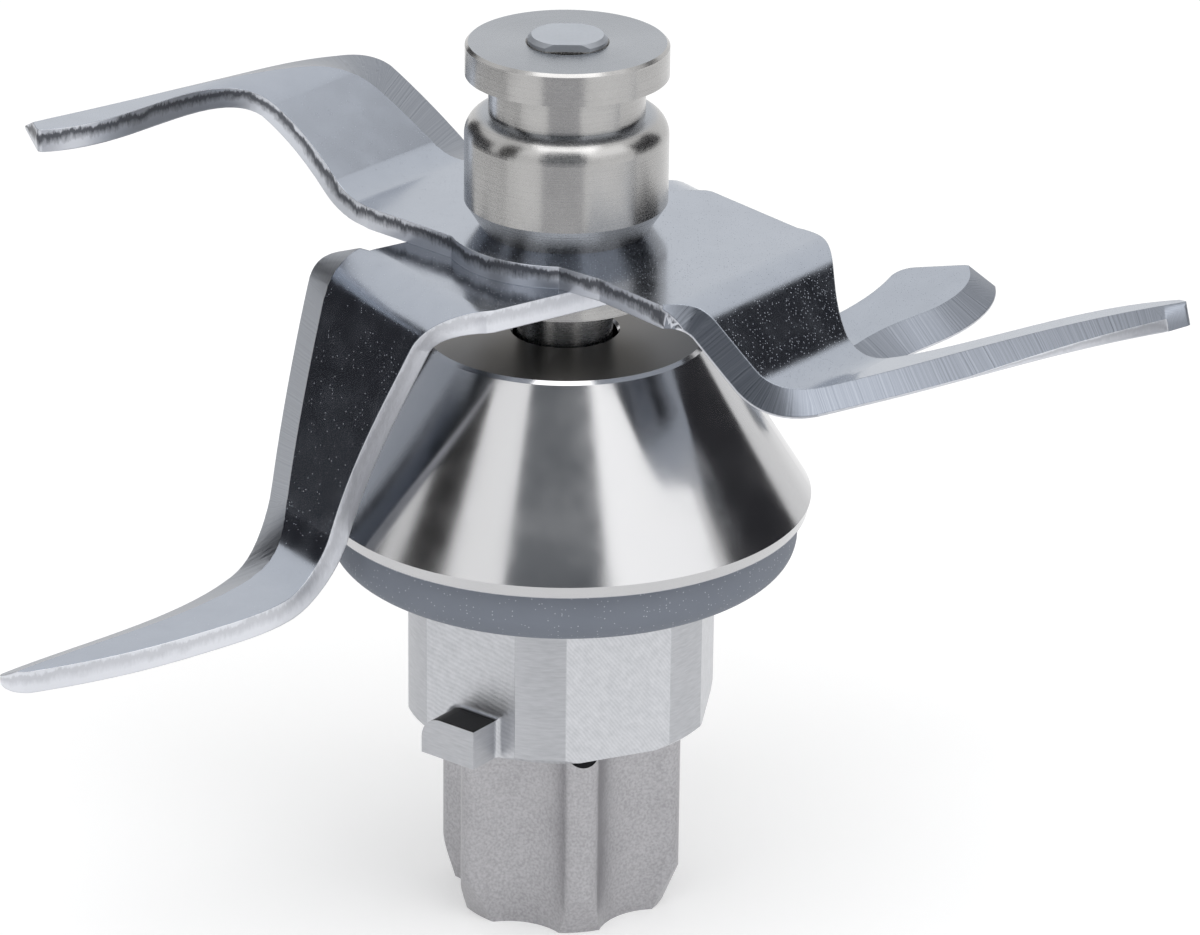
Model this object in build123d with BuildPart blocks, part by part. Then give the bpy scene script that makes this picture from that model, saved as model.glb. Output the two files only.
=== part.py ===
from build123d import *
import os
from collections import namedtuple
from math import cos, radians, sin, sqrt, tan

os.makedirs("parts", exist_ok=True)

# Blade assembly of a jug blender: two bent knives turn on a spindle in a conical housing.
# Millimetres. The foot of the drive coupling stands at the origin, and the spindle is +Z.

# Heights of the stack, from the foot upwards
coupling_height = 21.0
coupling_gap = 0.45
body_height = 22.3
rim_height = 1.25
cone_height = 17.2
blade_lift = 6.4
blade_thickness = 2.3
cap_height = 19.05
spindle_proud = 0.75

# Housing
rim_radius = 25.0
rim_foot_radius = 24.7
cone_top_radius = 14.5
cone_edge_break = 0.35
body_radius = 16.0
flat_depth = 1.05
flat_count = 6
flat_direction = 52.35
flat_height = 16.0
spindle_hole_radius = 5.25
spindle_hole_break = 0.25
top_wall = 4.2
foot_chamfer = 0.5

# Bayonet lug on one flat
lug_direction = 232.35
lug_width = 6.65
lug_height = 4.1
lug_reach = 3.9
lug_offset = 0.2
lug_corner = 2.4
lug_root = 0.5

# Gasket under the rim
gasket_radius = 23.7
gasket_foot_radius = 21.8
gasket_height = 5.65

# Ball bearings
bearing_bore_radius = 4.0
bearing_outer_radius = 11.0
bearing_width = 7.0
inner_land_radius = 6.05
outer_land_radius = 9.1
ball_radius = 1.985
ball_count = 7
ball_clearance = 0.06
race_chamfer = 0.3
shield_thickness = 0.3
shield_inset = 0.2
shield_gap = 0.3
shield_lip = 0.4
cage_thickness = 1.6
cage_back = 2.6
cage_front = 0.8
pocket_clearance = 0.1

# Retaining ring under the lower bearing
ring_land = 1.35
ring_thickness = 1.2
ring_depth = 0.7
ring_width = 2.0
ring_gap_angle = 50.0
ring_ear_radius = 1.5
ring_ear_hole = 0.7
ring_ear_angle = 31.0

# Shaft seal and its garter spring
seal_outer_radius = 9.0
seal_height = 6.0
seal_wall = 1.5
seal_top = 1.5
seal_lip_height = 3.0
seal_lip_wall = 1.2
garter_radius = 0.5

# Spindle
seal_neck_radius = 4.8
flange_radius = 9.3
flange_height = 2.15
seat_radius = 4.0
seat_across_flats = 6.6
stud_radius = 3.95
stud_chamfer = 0.4
drive_flat_depth = 1.0
spacer_wall = 1.5

# Cap
cap_body_radius = 10.1
cap_foot_radius = 8.34
cap_taper_height = 2.8
cap_shoulder_height = 9.6
cap_neck_radius = 7.75
cap_disc_radius = 10.05
cap_disc_height = 3.27
cap_edge = 0.3
cap_countersink = 0.15

# Drive coupling
lobe_count = 6
lobe_direction = 40.8
lobe_radius = 12.8
lobe_nose = 1.9
valley_radius = 9.3
coupling_boss_radius = 5.5
coupling_foot_radius = 11.0
coupling_foot_taper = 4.5
coupling_top_radius = 11.3
coupling_top_taper = 1.5
coupling_web = 2.5
recess_radius = 5.6

# Coupling screw and lock washer
screw_radius = 2.5
screw_length = 16.0
screw_head_radius = 4.25
screw_head_height = 5.0
screw_socket = 4.0
screw_socket_sides = 6
screw_socket_depth = 2.5
screw_recess = 0.8
washer_thickness = 1.2
washer_radius = 4.3
washer_slit = 0.8
washer_slit_direction = 20.0

# Fits: radial clearance of a seated piece, of a running piece, and of a screw in its hole
seat_clearance = 0.02
running_clearance = 0.05
screw_clearance = 0.2
end_clearance = 0.3

# Cutters reach this far, past all the work they cut
cutter_reach = 40.0

# Blades: directions of the two plates, folds of the four arms, land left along the cutting edge
upper_direction = 141.0
lower_direction = 214.0
blade_reach = 66.0
edge_land = 0.2
bevel_steps = 48
fine_steps = 240
fine_share = 1e-7
turn_weight = 8.0
tip_overrun = 4.0
grind_above = 0.08
grind_below = 0.8
grind_outward = 0.4
grind_clearance = 3.5
tip_corner = 0.6
heel_corner = 1.5
rear_corner = 2.5

# Outlines and folds of the blades are drawn on a square grid of this pitch
outline_grid = 1.0
Arm = namedtuple("Arm", "slope reach run rise inner_radius outer_radius")


def drawn_arm(slope, **lengths):
    """An arm folds at its reach, runs out and rises to a second fold, and goes on at a slope in degrees."""
    return Arm(slope, **{name: length * outline_grid for name, length in lengths.items()})


rising_arm = drawn_arm(-2.0, reach=21.5, run=10.5, rise=10.5, inner_radius=5.0, outer_radius=7.0)
dipping_arm = drawn_arm(15.0, reach=23.5, run=7.3, rise=-8.7, inner_radius=5.0, outer_radius=5.0)
deep_arm = drawn_arm(-5.0, reach=20.7, run=8.9, rise=-28.9, inner_radius=6.0, outer_radius=7.0)
rear_arm = drawn_arm(12.0, reach=22.0, run=12.0, rise=-19.9, inner_radius=6.0, outer_radius=6.0)

# Sizes worked out from these
across_flats = 2 * (body_radius - flat_depth)
flat_foot_half_width = sqrt((body_radius - foot_chamfer) ** 2 - (across_flats / 2) ** 2)
lug_root_room = flat_foot_half_width - lug_width / 2 - abs(lug_offset)
ground_depth = blade_thickness - edge_land

# Heights worked out from the stack
housing_foot = coupling_height + coupling_gap
rim_foot = housing_foot + body_height
rim_top = rim_foot + rim_height
housing_top = rim_top + cone_height
lower_blade_foot = housing_top + blade_lift
upper_blade_foot = lower_blade_foot + blade_thickness
cap_foot = upper_blade_foot + blade_thickness
cap_top = cap_foot + cap_height
seal_foot = housing_top - top_wall - seal_height
upper_bearing_foot = seal_foot - bearing_width
lower_bearing_foot = housing_foot + ring_land + ring_thickness
lower_bearing_top = lower_bearing_foot + bearing_width
recess_depth = screw_recess + screw_head_height + washer_thickness
spindle_foot = recess_depth + coupling_web + end_clearance


def turned(*points):
    """Closed profile of (radius, height) points, to turn about the spindle axis."""
    with BuildSketch(Plane.XZ) as profile:
        with BuildLine():
            Polyline(*points, close=True)
        make_face()
    return profile.sketch


def finish(piece, node):
    """Name a finished piece and write it out."""
    piece.part.label = node
    export_step(piece.part, f"parts/{node}.step")


# Housing: turned cone, rim and body, six milled flats and a lug, bored from below
bearing_seat_radius = bearing_outer_radius + seat_clearance
ring_groove_radius = bearing_seat_radius + ring_depth

with BuildPart() as housing:
    revolve(
        turned(
            (spindle_hole_radius, housing_top - spindle_hole_break),
            (spindle_hole_radius + spindle_hole_break, housing_top),
            (cone_top_radius - cone_edge_break, housing_top),
            (cone_top_radius, housing_top - cone_edge_break),
            (rim_radius, rim_top),
            (rim_foot_radius, rim_foot),
            (body_radius, rim_foot),
            (body_radius, housing_foot + foot_chamfer),
            (body_radius - foot_chamfer, housing_foot),
            (bearing_seat_radius, housing_foot),
            (bearing_seat_radius, housing_foot + ring_land),
            (ring_groove_radius, housing_foot + ring_land),
            (ring_groove_radius, lower_bearing_foot),
            (bearing_seat_radius, lower_bearing_foot),
            (bearing_seat_radius, seal_foot),
            (seal_outer_radius + seat_clearance, seal_foot),
            (seal_outer_radius + seat_clearance, seal_foot + seal_height),
            (spindle_hole_radius, seal_foot + seal_height),
        ),
        axis=Axis.Z,
    )
    with BuildSketch(Plane.XY.offset(housing_foot)):
        Circle(cutter_reach)
        RegularPolygon(
            across_flats / 2,
            flat_count,
            major_radius=False,
            rotation=flat_direction + 180 / flat_count,
            mode=Mode.SUBTRACT,
        )
    extrude(amount=flat_height, mode=Mode.SUBTRACT)
    lug_normal = (cos(radians(lug_direction)), sin(radians(lug_direction)), 0)
    lug_tangent = (-lug_normal[1], lug_normal[0], 0)
    lug_plane = Plane((0, 0, housing_foot), x_dir=lug_tangent, z_dir=lug_normal)
    with BuildSketch(lug_plane.offset(across_flats / 2)) as lug_face:
        with Locations((lug_offset, 0)):
            Rectangle(lug_width, lug_height, align=(Align.CENTER, Align.MIN))
        fillet(lug_face.vertices().group_by(Axis.Y)[-1].sort_by(Axis.X)[0], lug_corner)
    extrude(amount=lug_reach)
    lug_roots = housing.edges(Select.LAST).filter_by_position(
        Axis((0, 0, 0), lug_normal), across_flats / 2 - seat_clearance, across_flats / 2 + seat_clearance
    )
    fillet(
        lug_roots.filter_by_position(Axis.Z, housing_foot + seat_clearance, rim_foot),
        min(lug_root, lug_root_room - seat_clearance),
    )
finish(housing, "housing")

# Gasket: silicone ring pushed up against the rim
with BuildPart() as gasket:
    with BuildSketch(Plane.XZ):
        with BuildLine():
            Polyline(
                (gasket_foot_radius, rim_foot - gasket_height),
                (body_radius + seat_clearance, rim_foot - gasket_height),
                (body_radius + seat_clearance, rim_foot),
                (gasket_radius, rim_foot),
                (gasket_radius, rim_foot - gasket_height / 2),
            )
            Spline(
                (gasket_radius, rim_foot - gasket_height / 2),
                (gasket_foot_radius, rim_foot - gasket_height),
                tangents=((0, -1), (-1, -0.5)),
            )
        make_face()
    revolve(axis=Axis.Z)
finish(gasket, "gasket")

# Ball bearings: the same five pieces, above and below the spacer
pitch_radius = (inner_land_radius + outer_land_radius) / 2
groove_radius = ball_radius + ball_clearance
shield_seat_radius = outer_land_radius + shield_lip

for place, foot in (("upper", upper_bearing_foot), ("lower", lower_bearing_foot)):
    middle = foot + bearing_width / 2
    top = foot + bearing_width

    with BuildPart() as outer_race:
        with BuildSketch(Plane.XZ) as outer_section:
            with Locations((outer_land_radius, middle)):
                Rectangle(
                    bearing_outer_radius - outer_land_radius,
                    bearing_width,
                    align=(Align.MIN, Align.CENTER),
                )
            chamfer(outer_section.vertices().group_by(Axis.X)[-1], race_chamfer)
            with Locations((pitch_radius, middle)):
                Circle(groove_radius, mode=Mode.SUBTRACT)
            for height in (foot, top):
                with Locations((outer_land_radius, height)):
                    Rectangle(
                        2 * shield_lip,
                        2 * (shield_inset + shield_thickness),
                        mode=Mode.SUBTRACT,
                    )
        revolve(axis=Axis.Z)
    finish(outer_race, f"{place}_bearing_outer_race")

    with BuildPart() as inner_race:
        with BuildSketch(Plane.XZ) as inner_section:
            with Locations((bearing_bore_radius, middle)):
                Rectangle(
                    inner_land_radius - bearing_bore_radius,
                    bearing_width,
                    align=(Align.MIN, Align.CENTER),
                )
            chamfer(inner_section.vertices().group_by(Axis.X)[0], race_chamfer)
            with Locations((pitch_radius, middle)):
                Circle(groove_radius, mode=Mode.SUBTRACT)
        revolve(axis=Axis.Z)
    finish(inner_race, f"{place}_bearing_inner_race")

    with BuildPart(Plane.XY.offset(middle)) as balls:
        with PolarLocations(pitch_radius, ball_count):
            Sphere(ball_radius)
    finish(balls, f"{place}_bearing_balls")

    with BuildPart(Plane.XY.offset(middle)) as cage:
        with BuildSketch(Plane.XY.offset(middle - cage_front)):
            Circle(pitch_radius + cage_thickness / 2)
            Circle(pitch_radius - cage_thickness / 2, mode=Mode.SUBTRACT)
        extrude(amount=cage_front + cage_back)
        with PolarLocations(pitch_radius, ball_count):
            Sphere(ball_radius + pocket_clearance, mode=Mode.SUBTRACT)
    finish(cage, f"{place}_bearing_cage")

    with BuildPart() as shields:
        for height in (foot + shield_inset, top - shield_inset - shield_thickness):
            with BuildSketch(Plane.XY.offset(height)):
                Circle(shield_seat_radius - seat_clearance)
                Circle(inner_land_radius + shield_gap, mode=Mode.SUBTRACT)
            extrude(amount=shield_thickness)
    finish(shields, f"{place}_bearing_shields")

# Spacer sleeve between the two inner races
with BuildPart() as bearing_spacer:
    with BuildSketch(Plane.XY.offset(lower_bearing_top)):
        Circle(bearing_bore_radius + spacer_wall)
        Circle(bearing_bore_radius, mode=Mode.SUBTRACT)
    extrude(amount=upper_bearing_foot - lower_bearing_top)
finish(bearing_spacer, "bearing_spacer")

# Retaining ring: open spring ring with two eyes for pliers
ring_outer_radius = ring_groove_radius - seat_clearance
ring_inner_radius = ring_outer_radius - ring_width
ring_ear_place = ring_inner_radius - ring_ear_radius / 2
half_gap = radians(ring_gap_angle / 2)

with BuildPart() as retaining_ring:
    with BuildSketch(Plane.XY.offset(housing_foot + ring_land)):
        Circle(ring_outer_radius)
        Circle(ring_inner_radius, mode=Mode.SUBTRACT)
        with BuildLine():
            Polyline(
                (0, 0),
                (cutter_reach, cutter_reach * tan(half_gap)),
                (cutter_reach, -cutter_reach * tan(half_gap)),
                close=True,
            )
        make_face(mode=Mode.SUBTRACT)
        for side in (1, -1):
            with PolarLocations(ring_ear_place, 1, start_angle=side * ring_ear_angle):
                Circle(ring_ear_radius)
                Circle(ring_ear_hole, mode=Mode.SUBTRACT)
    extrude(amount=ring_thickness)
finish(retaining_ring, "retaining_ring")

# Shaft seal: stiff outer wall, top web and a lip that runs on the spindle
lip_radius = seal_neck_radius + running_clearance
lip_back_radius = lip_radius + seal_lip_wall

with BuildPart() as shaft_seal:
    revolve(
        turned(
            (seal_outer_radius, seal_foot),
            (seal_outer_radius, seal_foot + seal_height),
            (lip_back_radius, seal_foot + seal_height),
            (lip_radius, seal_foot + seal_lip_height),
            (lip_radius + seal_lip_wall / 2, seal_foot + seal_lip_height - 2 * garter_radius),
            (lip_back_radius, seal_foot + seal_lip_height - 2 * garter_radius),
            (lip_back_radius, seal_foot + seal_lip_height + garter_radius),
            (lip_back_radius + garter_radius, seal_foot + seal_height - seal_top),
            (seal_outer_radius - seal_wall, seal_foot + seal_height - seal_top),
            (seal_outer_radius - seal_wall, seal_foot),
        ),
        axis=Axis.Z,
    )
finish(shaft_seal, "shaft_seal")

garter_ring_radius = lip_back_radius + garter_radius + seat_clearance

with BuildPart() as seal_spring:
    with BuildSketch(Plane.XZ):
        with Locations((garter_ring_radius, seal_foot + seal_lip_height - garter_radius)):
            Circle(garter_radius)
    revolve(axis=Axis.Z)
finish(seal_spring, "seal_spring")

# Spindle: journal for the bearings, neck for the seal, flange for the blades, seat and stud with two flats
journal_radius = bearing_bore_radius - seat_clearance
flange_foot = lower_blade_foot - flange_height
seat_top = cap_foot - end_clearance

with BuildPart() as spindle:
    revolve(
        turned(
            (0, spindle_foot),
            (journal_radius, spindle_foot),
            (journal_radius, seal_foot),
            (seal_neck_radius, seal_foot),
            (seal_neck_radius, flange_foot),
            (flange_radius, flange_foot),
            (flange_radius, lower_blade_foot),
            (seat_radius, lower_blade_foot),
            (seat_radius, seat_top),
            (stud_radius, seat_top),
            (stud_radius, cap_top + spindle_proud - stud_chamfer),
            (stud_radius - stud_chamfer, cap_top + spindle_proud),
            (0, cap_top + spindle_proud),
        ),
        axis=Axis.Z,
    )
    with BuildSketch(Plane.XY.offset(lower_blade_foot)):
        Circle(cutter_reach)
        Rectangle(2 * cutter_reach, seat_across_flats, mode=Mode.SUBTRACT)
    extrude(amount=cap_top + spindle_proud - lower_blade_foot, mode=Mode.SUBTRACT)
    with BuildSketch(Plane.XY.offset(spindle_foot)):
        with Locations((journal_radius - drive_flat_depth, 0)):
            Rectangle(cutter_reach, cutter_reach, align=(Align.MIN, Align.CENTER))
    extrude(amount=lower_bearing_foot - spindle_foot, mode=Mode.SUBTRACT)
    with BuildSketch(Plane.XY.offset(spindle_foot)):
        Circle(screw_radius + seat_clearance)
    extrude(amount=screw_length - washer_thickness - coupling_web + end_clearance, mode=Mode.SUBTRACT)
finish(spindle, "spindle")

# Cap: turned nut that clamps the blades on the flange
with BuildPart() as cap:
    bore = stud_radius + seat_clearance
    neck_foot = cap_foot + cap_shoulder_height + cap_body_radius - cap_neck_radius
    disc_foot = cap_top - cap_disc_height
    with BuildSketch(Plane.XZ):
        with BuildLine():
            taper = Polyline(
                (bore, cap_foot),
                (cap_foot_radius, cap_foot),
                (cap_body_radius, cap_foot + cap_taper_height),
                (cap_body_radius, cap_foot + cap_shoulder_height),
            )
            shoulder = JernArc(taper @ 1, (0, 1), cap_body_radius - cap_neck_radius, 90)
            Polyline(
                shoulder @ 1,
                (cap_neck_radius, disc_foot),
                (cap_disc_radius, disc_foot),
                (cap_disc_radius, cap_top - cap_edge),
                (cap_disc_radius - cap_edge, cap_top),
                (bore + cap_countersink, cap_top),
                (bore, cap_top - cap_countersink),
                (bore, cap_foot),
            )
        make_face()
    revolve(axis=Axis.Z)
finish(cap, "cap")

# Drive coupling: lobes and hollows are tangent arcs, tapered at the foot and at the top
nose_place = lobe_radius - lobe_nose
half_pitch = radians(180 / lobe_count)
hollow_radius = (
    (nose_place**2 + valley_radius**2 - 2 * nose_place * valley_radius * cos(half_pitch) - lobe_nose**2)
    / (2 * (lobe_nose - valley_radius + nose_place * cos(half_pitch)))
)
hollow_place = valley_radius + hollow_radius


def polar(radius, angle):
    return Vector(radius * cos(angle), radius * sin(angle))


with BuildPart() as coupling:
    with BuildSketch():
        with BuildLine():
            for lobe in range(lobe_count):
                middle = radians(lobe_direction) + 2 * half_pitch * lobe
                nose = polar(nose_place, middle)
                before = polar(hollow_place, middle - half_pitch)
                after = polar(hollow_place, middle + half_pitch)
                start = nose + (before - nose).normalized() * lobe_nose
                end = nose + (after - nose).normalized() * lobe_nose
                following = polar(nose_place, middle + 2 * half_pitch)
                landing = following + (after - following).normalized() * lobe_nose
                ThreePointArc(start, polar(lobe_radius, middle), end)
                ThreePointArc(end, polar(valley_radius, middle + half_pitch), landing)
        make_face()
    extrude(amount=coupling_height)
    with BuildSketch(Plane.XZ):
        with BuildLine():
            Polyline(
                (0, 0),
                (coupling_foot_radius, 0),
                (lobe_radius, coupling_foot_taper),
                (lobe_radius, coupling_height - coupling_top_taper),
                (coupling_top_radius, coupling_height),
                (0, coupling_height),
                close=True,
            )
        make_face()
    revolve(axis=Axis.Z, mode=Mode.INTERSECT)
    with BuildSketch(Plane.XY.offset(coupling_height)):
        Circle(coupling_boss_radius)
    extrude(amount=lower_bearing_foot - coupling_height)
    with BuildSketch(Plane.XY.offset(recess_depth + coupling_web)):
        Circle(bearing_bore_radius)
        with Locations((journal_radius - drive_flat_depth + seat_clearance, 0)):
            Rectangle(
                cutter_reach,
                cutter_reach,
                align=(Align.MIN, Align.CENTER),
                mode=Mode.SUBTRACT,
            )
    extrude(amount=lower_bearing_foot - recess_depth - coupling_web, mode=Mode.SUBTRACT)
    with BuildSketch():
        Circle(recess_radius)
    extrude(amount=recess_depth, mode=Mode.SUBTRACT)
    with BuildSketch(Plane.XY.offset(recess_depth)):
        Circle(screw_radius + screw_clearance)
    extrude(amount=coupling_web, mode=Mode.SUBTRACT)
finish(coupling, "coupling")

# Lock washer: split ring between the screw head and the coupling
with BuildPart() as lock_washer:
    with BuildSketch(Plane.XY.offset(recess_depth - washer_thickness)):
        Circle(washer_radius)
        Circle(screw_radius + screw_clearance, mode=Mode.SUBTRACT)
        Rectangle(
            2 * washer_radius,
            washer_slit,
            rotation=washer_slit_direction,
            align=(Align.MIN, Align.CENTER),
            mode=Mode.SUBTRACT,
        )
    extrude(amount=washer_thickness)
finish(lock_washer, "lock_washer")

# Coupling screw: socket head in the recess, shank up into the spindle
with BuildPart() as coupling_screw:
    with BuildSketch(Plane.XY.offset(screw_recess)):
        Circle(screw_head_radius)
    extrude(amount=screw_head_height)
    chamfer(coupling_screw.edges().group_by(Axis.Z)[0], race_chamfer)
    with BuildSketch(Plane.XY.offset(screw_recess + screw_head_height)):
        Circle(screw_radius)
    extrude(amount=screw_length)
    with BuildSketch(Plane.XY.offset(screw_recess)):
        RegularPolygon(screw_socket / 2, screw_socket_sides, major_radius=False)
    extrude(amount=screw_socket_depth, mode=Mode.SUBTRACT)
finish(coupling_screw, "coupling_screw")


def fold_path(near, far, top):
    """Side view of a folded strip's top face, from the far arm's tip to the near arm's."""

    def knots(arm, side):
        elbow = arm.reach + arm.run
        tip_rise = arm.rise + (blade_reach - elbow) * tan(radians(arm.slope))
        return [
            (side * arm.reach, top),
            (side * elbow, top + arm.rise),
            (side * blade_reach, top + tip_rise),
        ]

    return FilletPolyline(
        *reversed(knots(far, -1)),
        *knots(near, 1),
        radius=[far.outer_radius, far.inner_radius, near.inner_radius, near.outer_radius],
    )


def strip_share(path, reach):
    """Share of a folded strip's length up to a reach along its arms."""
    low, high = 0.0, 1.0
    while high - low > fine_share:
        middle = (low + high) / 2
        if (path @ middle).X < reach:
            low = middle
        else:
            high = middle
    return low


def on_strip(path, share, across, depth):
    """Place at a share of a folded strip's length, some way across it and below its top face."""
    place = path @ share
    run = path % share
    return Vector(place.X + depth * run.Y, across, place.Y - depth * run.X)


def stations(path, edge):
    """Shares of a cutting edge, evenly spaced along it, and closer together where it folds or turns."""
    fine_shares = [step / fine_steps for step in range(fine_steps + 1)]
    poses = []
    for share in fine_shares:
        place = edge @ share
        place_on_strip = strip_share(path, place.X)
        poses.append((on_strip(path, place_on_strip, place.Y, 0.0), path % place_on_strip, edge % share))
    runs = [0.0]
    for pose, next_pose in zip(poses, poses[1:]):
        moved, folded, turned_aside = ((new - old).length for old, new in zip(pose, next_pose))
        runs.append(runs[-1] + moved + turn_weight * (folded + turned_aside))
    chosen = []
    for step in range(bevel_steps + 1):
        target = runs[-1] * step / bevel_steps
        chosen.append(min(zip(fine_shares, runs), key=lambda pair: abs(pair[1] - target))[0])
    return chosen


def bevel_at(bevel, share):
    """Width and depth of a bevel at a share of its edge, between the stations that are given.

    A station is a share of the edge, a width in squares of the grid and a share of the full depth.
    """
    for (start, width, depth), (end, next_width, next_depth) in zip(bevel, bevel[1:]):
        if share <= end:
            part = (share - start) / (end - start)
            drawn_width = width + part * (next_width - width)
            drawn_depth = depth + part * (next_depth - depth)
            return drawn_width * outline_grid, drawn_depth * ground_depth


def grinding(frame, path, edge, share, bevel, overrun=0.0):
    """Section of what is ground off at a share of an edge: all above a line from the top face to the edge.

    The bevel is laid out on the flat strip, as it is ground before the strip is folded.
    """
    width, depth = bevel_at(bevel, share)
    place = edge @ share
    place_on_strip = strip_share(path, place.X)
    fold = path % place_on_strip
    along = Vector((edge % share).X / fold.X, (edge % share).Y).normalized()

    def beside(inward, below):
        share_beside = place_on_strip - along.Y * inward / path.length
        return on_strip(path, share_beside, place.Y + along.X * inward, below)

    inner = beside(width, 0.0)
    slant = inner - beside(0.0, depth)
    outside = beside(-grind_outward * width, -grind_clearance)
    forward = overrun * Vector(along.X * fold.X, along.Y, along.X * fold.Y)
    points = [inner + grind_above * slant, inner - (1 + grind_below) * slant, outside]
    return Face(Wire.make_polygon([frame.from_local_coords(point + forward) for point in points]))


def grindings(frame, path, edge, bevel):
    """Sections of what is ground off along a cutting edge, and one past its tip."""
    sections = [grinding(frame, path, edge, share, bevel) for share in stations(path, edge)]
    return [*sections, grinding(frame, path, edge, 1.0, bevel, tip_overrun)]


def plate_frame(direction):
    """Plan of a plate: X along the near arm, Z up."""
    turn = radians(direction)
    return Plane((0, 0, 0), x_dir=(cos(turn), sin(turn), 0), z_dir=(0, 0, 1))


def folded_sheet(frame, path, plan):
    """Pieces of a folded strip under its top face, trimmed to a plan from above, rim square to the face."""
    side_view = Plane(frame.origin, x_dir=frame.x_dir, z_dir=-frame.y_dir)
    blank = Solid.extrude(plan.face(), Vector(0, 0, 2 * cap_top))
    pieces = []
    for line in path.edges():
        near_line = side_view.offset(blade_reach).from_local_coords(line)
        strip = Face.extrude(near_line, -2 * blade_reach * side_view.z_dir)
        for trimmed in strip.intersect(blank).faces():
            pieces.append(Solid.thicken(trimmed, blade_thickness, normal_override=Vector(0, 0, -1)))
    return pieces


def keyed_hole(height):
    """Hole with two flats that fits the spindle's seat."""
    with BuildSketch(Plane.XY.offset(height)) as hole:
        Circle(seat_radius + seat_clearance)
        Rectangle(cutter_reach, seat_across_flats + 2 * seat_clearance, mode=Mode.INTERSECT)
    return hole.sketch


def drawn(*points):
    """Points of a blade's outline, from squares of the grid to lengths."""
    return [Vector(x, y) * outline_grid for x, y in points]


def corners(plan, *places):
    """Corners of a plan at the given places."""
    return [plan.vertices().sort_by_distance(place)[0] for place in places]


# Upper blade: one arm rises, the other dips and rises again
upper_path = fold_path(rising_arm, dipping_arm, cap_foot)
upper_frame = plate_frame(upper_direction)
rising_edge = Spline(
    *drawn(
        (11.0, -14.1),
        (21.0, -13.4),
        (28.0, -10.9),
        (33.4, -7.4),
        (36.6, -3.0),
        (39.1, 5.0),
        (41.3, 13.9),
        (45.0, 29.9),
    )
)
dipping_edge = Spline(
    *drawn(
        (-21.0, 11.2),
        (-26.3, 8.85),
        (-31.5, 6.4),
        (-35.1, 2.4),
        (-39.0, -2.9),
        (-46.0, -14.3),
        (-54.8, -24.3),
    )
)
rising_bevel = [
    (0.0, 0.5, 0.2),
    (0.13, 6.0, 1.0),
    (0.4, 6.5, 1.0),
    (1.0, 5.0, 1.0),
]
dipping_bevel = [
    (0.0, 0.3, 0.15),
    (0.06, 1.5, 1.0),
    (0.6, 2.0, 1.0),
    (1.0, 1.5, 0.5),
]

with BuildSketch(upper_frame) as upper_plan:
    with BuildLine():
        Line(*drawn((-1.65, -14.2)), rising_edge @ 0)
        add(rising_edge)
        Line(rising_edge @ 1, *drawn((38.6, 34.6)))
        Spline(
            *drawn((38.6, 34.6), (34.9, 22.4), (33.0, 13.0), (29.5, 9.6), (23.0, 8.2), (18.0, 9.1))
        )
        Line(*drawn((18.0, 9.1), (6.5, 9.85)))
        ThreePointArc(*drawn((6.5, 9.85), (0, 11.8), (-6.94, 9.57)))
        Polyline(*drawn((-6.94, 9.57), (-12.0, 9.5)), dipping_edge @ 0)
        add(dipping_edge)
        Polyline(dipping_edge @ 1, *drawn((-56.0, -26.7), (-54.5, -27.5)))
        Spline(
            *drawn(
                (-54.5, -27.5),
                (-45.7, -22.2),
                (-38.4, -12.0),
                (-33.5, -7.9),
                (-28.9, -7.8),
                (-23.4, -12.4),
                (-18.0, -14.1),
            )
        )
        Polyline(*drawn((-18.0, -14.1), (-4.8, -16.9), (-1.65, -14.2)))
    make_face()
    tips = [rising_edge @ 1, dipping_edge @ 1, *drawn((38.6, 34.6), (-56.0, -26.7))]
    fillet(corners(upper_plan, *tips), tip_corner)
    fillet(corners(upper_plan, *drawn((-4.8, -16.9))), heel_corner)

with BuildPart() as upper_blade:
    add(folded_sheet(upper_frame, upper_path, upper_plan.sketch))
    extrude(keyed_hole(upper_blade_foot), amount=blade_thickness, mode=Mode.SUBTRACT)
    loft(grindings(upper_frame, upper_path, rising_edge, rising_bevel), ruled=True, mode=Mode.SUBTRACT)
    loft(grindings(upper_frame, upper_path, dipping_edge, dipping_bevel), ruled=True, mode=Mode.SUBTRACT)
finish(upper_blade, "upper_blade")

# Lower blade: one arm drops deep beside the housing, the other drops and rises again
lower_path = fold_path(deep_arm, rear_arm, upper_blade_foot)
lower_frame = plate_frame(lower_direction)
deep_edge = Spline(
    *drawn(
        (18.2, -13.7),
        (20.7, -16.1),
        (24.0, -15.6),
        (28.0, -13.6),
        (32.0, -10.4),
        (39.0, -7.4),
        (48.6, -6.4),
        (61.1, -6.3),
    )
)
rear_edge = Spline(
    *drawn(
        (-22.0, 10.3),
        (-30.0, 5.5),
        (-36.0, 2.6),
        (-42.0, 1.4),
        (-47.0, 1.8),
        (-52.0, 0.8),
        (-56.5, -3.0),
    )
)
deep_grind = Spline(
    *drawn(
        (13.0, -17.6),
        (18.5, -16.9),
        (24.0, -15.6),
        (28.0, -13.6),
        (32.0, -10.4),
        (39.0, -7.4),
        (48.6, -6.4),
        (61.1, -6.3),
    )
)
deep_bevel = [
    (0.0, 6.5, 1.0),
    (0.32, 6.0, 1.0),
    (0.48, 4.6, 1.0),
    (1.0, 4.2, 1.0),
]
rear_bevel = [
    (0.0, 0.3, 0.15),
    (0.1, 3.0, 1.0),
    (0.25, 4.0, 1.0),
    (1.0, 2.4, 1.0),
]

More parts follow.
